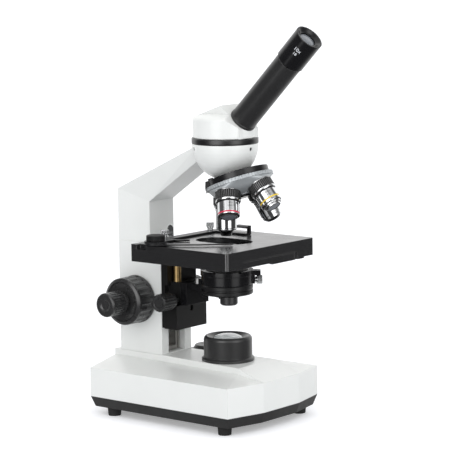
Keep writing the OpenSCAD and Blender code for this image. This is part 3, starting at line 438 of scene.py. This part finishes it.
BAND = {"4x": RED, "10x": YELLOW, "40x": BLUE, "100x": BAND_WHITE}
objective("4x", 90,
          [(BARREL, 86.9, BRIGHT), (BARREL - 0.15, 87.2, BRIGHT),
           (BARREL - 0.5, 87.4, BLACK), (8.4, 87.5, BLACK), (8.2, 88.0, BRIGHT),
           (7.7, 88.4, BRIGHT), (7.4, 88.7, BLACK), (7.1, 88.8, BLACK),
           (6.9, 88.6, BLACK), (6.9, 87.6, BLACK), (0, 87.6, BLACK)],
          [(84.6, 86.1)])
objective("10x", 180,
          [(BARREL, 86.1, BRIGHT), (BARREL - 0.5, 86.8, STEP_SHADE), (9.0, 86.9, BRIGHT),
           (8.8, 88.3, BRIGHT), (8.4, 88.5, STEP_SHADE), (7.4, 88.6, BRIGHT),
           (7.2, 90.1, BRIGHT), (6.8, 90.5, STEP_SHADE), (6.4, 90.5, BLACK),
           (6.2, 90.2, BLACK), (6.2, 89.0, BLACK), (0, 89.0, BLACK)],
          [(82.4, 83.9)])
objective("40x", 270,
          [(BARREL, 76.6, BRIGHT), (10.0, 77.1, BRIGHT), (10.0, 91.2, BRIGHT),
           (9.7, 91.5, STEP_SHADE), (9.4, 91.6, BRIGHT), (9.4, 94.1, BRIGHT),
           (9.1, 94.5, STEP_SHADE), (6.2, 97.3, BRIGHT), (5.6, 97.5, BRIGHT),
           (5.0, 97.6, BLACK), (4.6, 97.5, BLACK), (4.6, 96.4, BLACK),
           (0, 96.4, BLACK)],
          [])
objective("100x", 0,
          [(BARREL, 76.6, BRIGHT), (10.0, 77.1, BRIGHT), (10.0, 92.8, STEP_SHADE),
           (9.85, 92.9, STEP_SHADE), (9.85, 93.2, BRIGHT), (10.3, 93.5, BRIGHT),
           (10.3, 94.1, BRIGHT), (9.8, 94.6, BRIGHT), (8.0, 94.9, STEP_SHADE),
           (7.9, 95.0, BRIGHT), (5.6, 97.8, BRIGHT), (5.1, 100.5, BRIGHT),
           (4.8, 100.8, STEP_SHADE), (3.5, 100.8, BLACK), (3.4, 99.6, BLACK),
           (0, 99.6, BLACK)],
          [])

# ----------------------------------------------------------- plain numbers

# how far the print stands off the surface, in mm
PRINT = 0.03
for power, turn, aperture in (("4x", 90, "0.1"), ("10x", 180, "0.25")):
    place = objective_place(turn)
    lines = ((power[:-1] + "/" + aperture, 2.3, 77.9), ("160/0.17", 1.9, 80.6))
    for line, (digits, size, low) in enumerate(lines):
        number("numbers_%s_%d" % (power, line), digits, size, place, "nosepiece",
               BARREL + PRINT, facing(place, 14), -low, INK)

# the eyepiece tube leans 45 degrees from a point on the optical axis
TUBE_FOOT = 0.2652
EYEPIECE = 13.6
tube = (Matrix.Translation((AXIS.x, AXIS.y, TUBE_FOOT))
        @ Matrix.Rotation(math.radians(45), 4, "X"))
# its power, and its field in mm
for line, (digits, size, along) in enumerate((("10x", 5.0, 130.4), ("18", 4.0, 126.1))):
    number("numbers_eyepiece_%d" % line, digits, size, tube, "eyepiece",
           EYEPIECE + PRINT, math.radians(-158), along, INK_WHITE)

# ------------------------------------------------------------------ studio

class Setting:
    """Node helpers for the floor and the world of the studio."""

    def __init__(self, tree):
        self.nt = tree
        self.nt.nodes.clear()

    def new(self, kind, **values):
        node = self.nt.nodes.new(kind)
        for key, value in values.items():
            setattr(node, key, value)
        return node

    def op(self, op, a, b=None):
        node = self.new("ShaderNodeMath", operation=op)
        for socket, value in zip(node.inputs, (a, b)):
            if isinstance(value, (int, float)):
                socket.default_value = value
            elif value is not None:
                self.nt.links.new(value, socket)
        return node.outputs[0]

    def ramp(self, value, low, high, lo, hi):
        node = self.new("ShaderNodeMapRange", interpolation_type="SMOOTHSTEP")
        self.nt.links.new(value, node.inputs["Value"])
        for name, v in (("From Min", low), ("From Max", high), ("To Min", lo),
                        ("To Max", hi)):
            node.inputs[name].default_value = v
        return node.outputs[0]

    def along(self, vector, axis):
        node = self.new("ShaderNodeVectorMath", operation="DOT_PRODUCT")
        self.nt.links.new(vector, node.inputs[0])
        node.inputs[1].default_value = axis
        return node.outputs["Value"]

    def background(self, strength):
        node = self.new("ShaderNodeBackground")
        node.inputs["Color"].default_value = (1, 1, 1, 1)
        if isinstance(strength, (int, float)):
            node.inputs["Strength"].default_value = strength
        else:
            self.nt.links.new(strength, node.inputs["Strength"])
        return node.outputs[0]

    def choose(self, factor, a, b):
        node = self.new("ShaderNodeMixShader")
        self.nt.links.new(factor, node.inputs[0])
        self.nt.links.new(a, node.inputs[1])
        self.nt.links.new(b, node.inputs[2])
        return node.outputs[0]


# brightness added where the camera sees the floor, and that of the soft boxes
FLOOR_LIFT = 0.30
LEFT_BOX = 2.2
RIGHT_BOX = 1.8
# ramp of the forward direction that keeps only what lies in front
FRONT = (-0.55, -0.25, 1.0, 0.0)


def band(tree, value, lo, hi, soft, strength):
    """A soft-edged band of one direction coordinate."""
    shape = tree.op("MULTIPLY", tree.ramp(value, lo - soft, lo, 0.0, 1.0),
                    tree.ramp(value, hi, hi + soft, 1.0, 0.0))
    return tree.op("MULTIPLY", shape, strength)


def soft_boxes(tree, value):
    """The two soft boxes in front of the object, by their sideways direction."""
    return tree.op("ADD", band(tree, value, -0.70, -0.32, 0.12, LEFT_BOX),
                   band(tree, value, 0.44, 0.74, 0.12, RIGHT_BOX))


def floor_material():
    """White paper: dark towards the camera only where something glossy sees it."""
    mat = bpy.data.materials.new("studio_floor")
    mat.use_nodes = True
    t = Setting(mat.node_tree)
    out = t.new("ShaderNodeOutputMaterial")
    paper = t.new("ShaderNodeBsdfDiffuse")
    paper.inputs["Color"].default_value = (0.86, 0.87, 0.90, 1)
    path = t.new("ShaderNodeLightPath")
    place = t.new("ShaderNodeTexCoord").outputs["Object"]
    aside = t.op("ABSOLUTE", t.along(place, SIDE))
    ahead = t.op("SUBTRACT", t.along(place, AWAY), t.op("MULTIPLY", aside, 0.55))
    behind = t.ramp(ahead, -0.20, 0.15, 0.06, 1.0)
    reach = t.new("ShaderNodeVectorMath", operation="LENGTH")
    t.nt.links.new(place, reach.inputs[0])
    sideways = t.op("DIVIDE", t.along(place, SIDE), reach.outputs["Value"])
    forward = t.op("DIVIDE", t.along(place, AWAY), reach.outputs["Value"])
    # the soft boxes' light goes on down to the floor, away from the object
    lit = t.op("MULTIPLY", t.op("MULTIPLY", soft_boxes(t, sideways),
                                t.ramp(forward, *FRONT)),
               t.ramp(reach.outputs["Value"], 0.5, 1.0, 0.0, 1.0))
    glossy = t.new("ShaderNodeEmission")
    t.nt.links.new(t.op("ADD", behind, lit), glossy.inputs["Strength"])
    lift = t.new("ShaderNodeEmission")
    seen = t.op("MAXIMUM", path.outputs["Is Camera Ray"],
                path.outputs["Is Transmission Ray"])
    t.nt.links.new(t.op("MULTIPLY", seen, FLOOR_LIFT), lift.inputs["Strength"])
    add = t.new("ShaderNodeAddShader")
    t.nt.links.new(paper.outputs[0], add.inputs[0])
    t.nt.links.new(lift.outputs[0], add.inputs[1])
    t.nt.links.new(t.choose(path.outputs["Is Glossy Ray"], add.outputs[0],
                            glossy.outputs[0]), out.inputs[0])
    return mat


# half the floor's width, and how far it lies under the feet, in metres
REACH = 60.0
FLOOR_DROP = 0.0002
floor_mesh = bpy.data.meshes.new("studio_floor")
floor_mesh.from_pydata([(-REACH, -REACH, 0), (REACH, -REACH, 0), (REACH, REACH, 0),
                        (-REACH, REACH, 0)], [], [(0, 1, 2, 3)])
floor = bpy.data.objects.new("studio_floor", floor_mesh)
floor.location.z = -FLOOR_DROP
floor.data.materials.append(floor_material())
scene.collection.objects.link(floor)

world = bpy.data.worlds.new("studio")
scene.world = world
world.use_nodes = True
w = Setting(world.node_tree)
w_out = w.new("ShaderNodeOutputWorld")
w_path = w.new("ShaderNodeLightPath")
w_dir = w.new("ShaderNodeTexCoord").outputs["Generated"]
away = w.along(w_dir, AWAY)
side = w.along(w_dir, SIDE)
height = w.along(w_dir, (0.0, 0.0, 1.0))
# what gloss sees: white paper behind, a dim room in front, soft boxes
room = w.op("ADD", w.ramp(away, 0.25, 0.60, 0.10, 1.25),
            w.ramp(side, 0.70, 0.95, 0.0, 0.14))
top_box = w.ramp(height, 0.75, 0.92, 0.0, 0.9)
front_boxes = w.op("MULTIPLY", w.op("MULTIPLY", soft_boxes(w, side),
                                    w.ramp(away, *FRONT)),
                   w.ramp(height, 0.45, 0.70, 1.0, 0.0))
glossy_light = w.op("ADD", w.op("ADD", room, top_box), front_boxes)
plain = w.choose(w_path.outputs["Is Glossy Ray"], w.background(0.93),
                 w.background(glossy_light))
seen = w.op("MAXIMUM", w_path.outputs["Is Camera Ray"],
            w_path.outputs["Is Transmission Ray"])
w.nt.links.new(w.choose(seen, plain, w.background(1.0)), w_out.inputs[0])


def sun(name, direction, strength, angle):
    lamp = bpy.data.lights.new(name, "SUN")
    lamp.energy = strength
    lamp.angle = math.radians(angle)
    obj = bpy.data.objects.new(name, lamp)
    obj.rotation_euler = Vector(direction).to_track_quat("-Z", "Y").to_euler()
    scene.collection.objects.link(obj)


sun("key_light", (0.90, 0.35, -0.50), 0.70, 60)
sun("fill_light", (0.15, 0.95, -0.40), 0.42, 60)

# ------------------------------------------------------------------ camera

EYE = (-1.543145, -1.289003, 0.461026)
LOOK = Vector((0.761624, 0.633022, -0.138607)).normalized()
RIGHT = Vector((0.637579, -0.770251, -0.014358)).normalized()
UP = RIGHT.cross(LOOK).normalized()
cam = bpy.data.cameras.new("camera")
cam.sensor_width = 36.0
cam.lens = 165.88
cam.clip_end = 200
cam_obj = bpy.data.objects.new("camera", cam)
facing_camera = Matrix((RIGHT, UP, -LOOK)).transposed()
cam_obj.matrix_world = Matrix.Translation(EYE) @ facing_camera.to_4x4()
scene.collection.objects.link(cam_obj)
scene.camera = cam_obj
